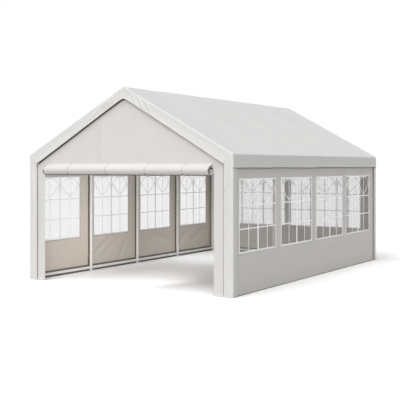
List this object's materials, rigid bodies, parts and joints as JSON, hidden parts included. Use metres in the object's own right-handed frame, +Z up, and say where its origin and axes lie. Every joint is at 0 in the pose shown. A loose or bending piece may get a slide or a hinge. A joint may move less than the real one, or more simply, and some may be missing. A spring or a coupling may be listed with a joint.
{
  "type": "marquee tent",
  "caption": "White marquee tent on a steel tube frame, with a gabled sheet cover, windowed side and back walls, and a rolled-up front door.",
  "frame": {"origin": "on the ground, under the middle of the whole object's box", "axes": "+Z up, +X to the right wall as seen from the front, +Y from the doorway to the back wall; the doorway faces -Y"},
  "size_m": [4, 6.1216, 3.2],
  "materials": {
    "white_cover_sheet": "coated woven sheet, faint sheen",
    "white_wall_sheet": "coated woven sheet, matt",
    "clear_window_sheet": "clear flexible sheet, glossy",
    "white_painted_steel": "white powder coat"
  },
  "bodies": {
    "root": {"post_left_1": "white_painted_steel", "post_left_2": "white_painted_steel", "post_left_3": "white_painted_steel", "post_left_4": "white_painted_steel", "post_left_5": "white_painted_steel", "post_right_1": "white_painted_steel", "post_right_2": "white_painted_steel", "post_right_3": "white_painted_steel", "post_right_4": "white_painted_steel", "post_right_5": "white_painted_steel", "rafter_left_1": "white_painted_steel", "rafter_left_2": "white_painted_steel", "rafter_left_3": "white_painted_steel", "rafter_left_4": "white_painted_steel", "rafter_left_5": "white_painted_steel", "rafter_right_1": "white_painted_steel", "rafter_right_2": "white_painted_steel", "rafter_right_3": "white_painted_steel", "rafter_right_4": "white_painted_steel", "rafter_right_5": "white_painted_steel", "eave_purlin_left": "white_painted_steel", "eave_purlin_right": "white_painted_steel", "ridge_purlin": "white_painted_steel", "ground_rail_left": "white_painted_steel", "ground_rail_right": "white_painted_steel", "ground_rail_back": "white_painted_steel", "roof_cover": "white_cover_sheet", "front_gable_band": "white_cover_sheet", "back_gable_band": "white_cover_sheet", "door_roll": "white_cover_sheet", "front_panel": "white_wall_sheet", "side_wall_left": "white_wall_sheet", "side_wall_right": "white_wall_sheet", "back_wall": "white_wall_sheet", "window_left_1": "clear_window_sheet", "window_left_2": "clear_window_sheet", "window_left_3": "clear_window_sheet", "window_left_4": "clear_window_sheet", "window_right_1": "clear_window_sheet", "window_right_2": "clear_window_sheet", "window_right_3": "clear_window_sheet", "window_right_4": "clear_window_sheet", "window_back_left": "clear_window_sheet", "window_back_right": "clear_window_sheet"}
  },
  "joints": []
}
